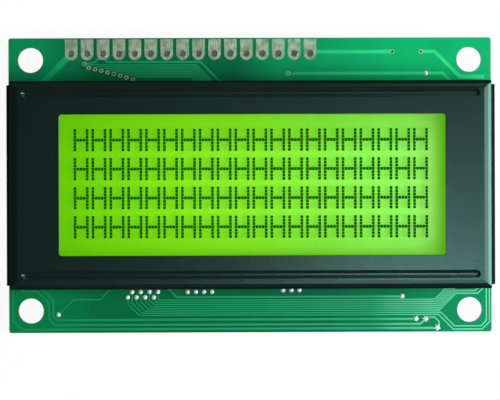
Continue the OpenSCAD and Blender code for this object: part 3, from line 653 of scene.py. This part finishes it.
def growDots(material):
    low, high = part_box("display_dots")
    left, right = dotSet["uprights"]
    tall, wide = dotSet["uprightDots"], dotSet["barDots"]
    cellWidth = (right - left) * dotSet["pitchX"] + dotSet["width"]
    cellHeight = (tall - 1) * dotSet["pitchY"] + dotSet["height"]
    spread = (high.x - low.x - cellWidth, high.y - low.y - cellHeight)
    tree, given, identifiers = newTree("dotCells", {
        "Columns": "Int", "Lines": "Int", "Spread X": "Float", "Spread Y": "Float",
        "Pitch X": "Float", "Pitch Y": "Float", "Dot Size": "Vector", "Middle": "Vector"})
    pitchX, pitchY = given["Pitch X"], given["Pitch Y"]
    bottom = maths(tree, "MULTIPLY", pitchY, -(tall - 1) / 2)
    parts = tree.nodes.new("GeometryNodeJoinGeometry")
    for side in (left, right):
        start = point(tree, maths(tree, "MULTIPLY", pitchX, side), bottom)
        tree.links.new(dotLine(tree, tall, start, point(tree, 0, pitchY)), parts.inputs[0])
    start = point(tree, maths(tree, "MULTIPLY", pitchX, -(wide - 1) / 2))
    tree.links.new(dotLine(tree, wide, start, point(tree, pitchX)), parts.inputs[0])
    dot = tree.nodes.new("GeometryNodeMeshCube")
    tree.links.new(given["Dot Size"], dot.inputs["Size"])
    cell = onPoints(tree, parts.outputs[0], dot.outputs[0])
    grid = tree.nodes.new("GeometryNodeMeshGrid")
    for label, source in (("Size X", "Spread X"), ("Size Y", "Spread Y"),
                          ("Vertices X", "Columns"), ("Vertices Y", "Lines")):
        tree.links.new(given[source], grid.inputs[label])
    seat = tree.nodes.new("GeometryNodeTransform")
    tree.links.new(onPoints(tree, grid.outputs[0], cell), seat.inputs["Geometry"])
    tree.links.new(given["Middle"], seat.inputs["Translation"])
    closeTree(tree, seat.outputs[0], material)
    mesh = grownMesh("switchedDots", tree, identifiers, {
        "Columns": dotSet["columns"], "Lines": dotSet["lines"],
        "Spread X": spread[0], "Spread Y": spread[1],
        "Pitch X": dotSet["pitchX"], "Pitch Y": dotSet["pitchY"],
        "Dot Size": (dotSet["width"], dotSet["height"], dotSet["thickness"]),
        "Middle": tuple((low + high) / 2)})
    piece = newPiece("switchedDots", mesh)
    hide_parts("display_dots")
    print("grew", len(mesh.polygons) // 6, "dots")


rimSet = {
    "count": 16,
    "landWidth": 2.0 * mm,
    "radius": 0.60 * mm,     # middle of the raised solder round a hole
    "thickness": 0.075 * mm,
    "sink": 0.045 * mm,      # how deep its centre line lies under the land's face
    "turns": 28, "sides": 8,
}


def growSolderRims(material):
    low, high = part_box("terminal_lands")
    fromEnd = rimSet["landWidth"] / 2
    pitch = (high.x - low.x - rimSet["landWidth"]) / (rimSet["count"] - 1)
    tree, given, identifiers = newTree("solderRims", {
        "Count": "Int", "First": "Vector", "Pitch": "Float", "Radius": "Float", "Thickness": "Float"})
    row = tree.nodes.new("GeometryNodeMeshLine")
    tree.links.new(given["Count"], row.inputs["Count"])
    tree.links.new(given["First"], row.inputs["Start Location"])
    tree.links.new(point(tree, given["Pitch"]), row.inputs["Offset"])
    tube = ringTube(tree, given, rimSet["turns"], rimSet["sides"])
    closeTree(tree, onPoints(tree, row.outputs[0], tube), material)
    mesh = grownMesh("solderRims", tree, identifiers, {
        "Count": rimSet["count"],
        "First": (low.x + fromEnd, low.y + fromEnd, high.z - rimSet["sink"]),
        "Pitch": pitch, "Radius": rimSet["radius"], "Thickness": rimSet["thickness"]})
    shadeSmooth(mesh)
    newPiece("solderRims", mesh)
    print("grew", rimSet["count"], "solder rims")


viaSet = {
    "radius": 0.275 * mm,     # middle of the bright rim round an open via
    "thickness": 0.085 * mm,
    "sink": 0.04 * mm,
    "bore": 0.166 * mm,
    "plugTop": 0.02 * mm,     # below the board's face
    "plugHeight": 0.5 * mm,
    "apart": 0.24 * mm,       # nearer corners belong to one via
    "faceDepth": 0.01 * mm,   # corners above this depth count as on the face
    "turns": 24, "sides": 8,
}


def findVias(nodeName):
    # middles of the node's separate lands, on the board's face
    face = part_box("circuit_board")[1].z
    lowest = face - viaSet["faceDepth"]
    corners = [v.co.copy() for v in nodes[nodeName].data.vertices if v.co.z > lowest]
    tree = kdtree.KDTree(len(corners))
    for number, corner in enumerate(corners):
        tree.insert(corner, number)
    tree.balance()
    middles, waiting = [], set(range(len(corners)))
    while waiting:
        group, front = [], [waiting.pop()]
        while front:
            corner = corners[front.pop()]
            group.append(corner)
            for _, number, _ in tree.find_range(corner, viaSet["apart"]):
                if number in waiting:
                    waiting.remove(number)
                    front.append(number)
        across, along = [c.x for c in group], [c.y for c in group]
        middles.append(((min(across) + max(across)) / 2, (min(along) + max(along)) / 2, face))
    middles.sort()
    return middles


def rimVias(middles, material):
    tree, given, identifiers = newTree("viaRims", {
        "Places": "Geometry", "Radius": "Float", "Thickness": "Float"})
    tube = ringTube(tree, given, viaSet["turns"], viaSet["sides"])
    closeTree(tree, onPoints(tree, given["Places"], tube), material)
    mesh = grownMesh("viaRims", tree, identifiers, {
        "Radius": viaSet["radius"], "Thickness": viaSet["thickness"]},
        [(x, y, z - viaSet["sink"]) for x, y, z in middles])
    shadeSmooth(mesh)
    newPiece("viaRims", mesh)
    print("rimmed", len(middles), "vias")


# dark plugs in the open vias' bores are painted shade: they stand for the shade inside the holes
def plugViasWithShade(middles, material):
    tree, given, identifiers = newTree("viaShadePlugs", {
        "Places": "Geometry", "Radius": "Float", "Height": "Float"})
    plug = tree.nodes.new("GeometryNodeMeshCylinder")
    plug.inputs["Vertices"].default_value = viaSet["turns"]
    tree.links.new(given["Radius"], plug.inputs["Radius"])
    tree.links.new(given["Height"], plug.inputs["Depth"])
    closeTree(tree, onPoints(tree, given["Places"], plug.outputs[0]), material)
    mesh = grownMesh("viaShadePlugs", tree, identifiers, {
        "Radius": viaSet["bore"], "Height": viaSet["plugHeight"]},
        [(x, y, z - viaSet["plugTop"] - viaSet["plugHeight"] / 2) for x, y, z in middles])
    newPiece("viaShadePlugs", mesh)
    print("plugged", len(middles), "vias")


splashSet = {
    # from the board's right end and lower edge: x, y, radius, number of lobes, turn in degrees
    "places": [(12.1, 2.1, 0.50, 5, 20), (10.6, 2.05, 0.56, 6, 65), (8.7, 0.68, 0.58, 5, 100)],
    "height": 0.26 * mm,
    "lobeDepth": 0.22,     # of the radius
    "lump": 0.22 * mm,     # width of the lumps
    # height at a place: its own share, how much the lumps change it and how much the lobes
    "level": 0.65, "lumpShare": 0.5, "lobeShare": 0.3,
    "roundness": 2.4,      # the larger, the steeper at the rim
    "crown": 0.6,          # height of the middle point
    "rings": 9,
    "steps": 60,
}


def pourSplashes(material):
    # flat lumpy solder where a hand iron touched the board
    low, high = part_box("circuit_board")
    tall, depth, count = splashSet["height"], splashSet["lobeDepth"], splashSet["steps"]
    shape = bmesh.new()
    for x, y, radius, lobes, turn in splashSet["places"]:
        middle = Vector((high.x - x * mm, low.y + y * mm, high.z))
        outline = []
        rows = []
        for k in range(count):
            angle = 2 * math.pi * k / count
            lobe = math.cos(lobes * angle + math.radians(turn))
            outline.append((angle, radius * mm * (1 - depth + depth * lobe), lobe))
        for ring in range(1, splashSet["rings"] + 1):
            share = ring / splashSet["rings"]
            row = []
            for angle, reach, lobe in outline:
                flat = Vector((math.cos(angle), math.sin(angle), 0)) * reach * share
                lump = noise.noise((middle + flat) / splashSet["lump"])
                swell = (splashSet["level"] + splashSet["lumpShare"] * lump
                         + splashSet["lobeShare"] * lobe * share)
                lift = tall * swell * math.sqrt(max(0.0, 1 - share ** splashSet["roundness"]))
                row.append(shape.verts.new(middle + flat + Vector((0, 0, max(lift, 0)))))
            rows.append(row)
        top = shape.verts.new(middle + Vector((0, 0, tall * splashSet["crown"])))
        for k in range(count):
            after = (k + 1) % count
            shape.faces.new((top, rows[0][k], rows[0][after]))
            for inner, outer in zip(rows, rows[1:]):
                shape.faces.new((inner[k], outer[k], outer[after], inner[after]))
        shape.faces.new(list(reversed(rows[-1])))
    bmesh.ops.recalc_face_normals(shape, faces=shape.faces)
    mesh = plainMesh(shape, "solderSplashes", material)
    for polygon in mesh.polygons:
        polygon.use_smooth = len(polygon.vertices) < 5  # all but the flat undersides
    newPiece("solderSplashes", mesh)
    print("poured", len(splashSet["places"]), "solder splashes")


beadSet = {
    "middles": (14.4 * mm, -14.1 * mm),
    "half": 35.4 * mm,         # to the middle of a bead's round end
    "floor": 0.4 * mm,         # below the bezel's face
    "paint": 0.058 * mm,       # how deep it stands
    "width": 0.25 * mm,
    "endSides": 8,
}


def fillBeads(material):
    # paint that ran to the bottom of the two pressed beads and set level
    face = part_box("bezel")[1].z
    radius = beadSet["width"] / 2
    shape = bmesh.new()
    for middle in beadSet["middles"]:
        outline = []
        for side in (1, -1):
            for step in range(beadSet["endSides"] + 1):
                angle = math.pi * (step / beadSet["endSides"] - 0.5)
                outline.append((side * (beadSet["half"] + radius * math.cos(angle)),
                                middle + side * radius * math.sin(angle)))
        rings = [[shape.verts.new((x, y, face - depth)) for x, y in outline]
                 for depth in (beadSet["floor"], beadSet["floor"] - beadSet["paint"])]
        shape.faces.new(rings[1])
        shape.faces.new(list(reversed(rings[0])))
        for now in range(len(outline)):
            after = (now + 1) % len(outline)
            shape.faces.new((rings[0][now], rings[0][after], rings[1][after], rings[1][now]))
    newPiece("beadPools", plainMesh(shape, "beadPools", material))
    print("filled the beads")


edgeSet = {
    "filmMargin": 1.2 * mm,    # the film reaches this far under the bezel
    "cornerRadius": 0.5 * mm,
    "bead": 0.06 * mm,
    "cornerSteps": 8,
    "sides": 10,
}


def runWindowEdge(material):
    # paint draws back into a fine rounded bead along the window's upper edge
    low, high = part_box("front_polariser")
    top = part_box("bezel")[1].z
    left, right = low.x + edgeSet["filmMargin"], high.x - edgeSet["filmMargin"]
    front, back = low.y + edgeSet["filmMargin"], high.y - edgeSet["filmMargin"]
    radius, bead = edgeSet["cornerRadius"], edgeSet["bead"]
    corners = [(right - radius, back - radius, 0), (left + radius, back - radius, 90),
               (left + radius, front + radius, 180), (right - radius, front + radius, 270)]
    shape = bmesh.new()
    loops = []
    for x, y, start in corners:
        for k in range(edgeSet["cornerSteps"] + 1):
            angle = math.radians(start + 90 * k / edgeSet["cornerSteps"])
            outward = Vector((math.cos(angle), math.sin(angle), 0))
            middle = Vector((x, y, top - bead)) + outward * radius
            loop = []
            for side in range(edgeSet["sides"]):
                turn = 2 * math.pi * side / edgeSet["sides"]
                lift = Vector((0, 0, bead * math.sin(turn)))
                loop.append(shape.verts.new(middle + outward * bead * math.cos(turn) + lift))
            loops.append(loop)
    for loop, after in zip(loops, loops[1:] + loops[:1]):
        for side in range(edgeSet["sides"]):
            nextSide = (side + 1) % edgeSet["sides"]
            shape.faces.new((loop[side], after[side], after[nextSide], loop[nextSide]))
    bmesh.ops.recalc_face_normals(shape, faces=shape.faces)
    mesh = plainMesh(shape, "windowEdge", material)
    shadeSmooth(mesh)
    newPiece("windowEdge", mesh)
    print("ran the paint bead round the window")


placeCamera()
hangSoftboxes()
paintRoom()
layFloor()
finishes = makeFinishes()
finishNodes(finishes)
growDots(finishes["darkCrystal"])
growSolderRims(finishes["tinnedCopper"])
pourSplashes(finishes["brightSolder"])
fillBeads(finishes["blackPaint"])
openVias = findVias("open_vias")
rimVias(openVias, finishes["brightSolder"])
plugViasWithShade(openVias, finishes["viaBoreShade"])
runWindowEdge(finishes["blackPaint"])
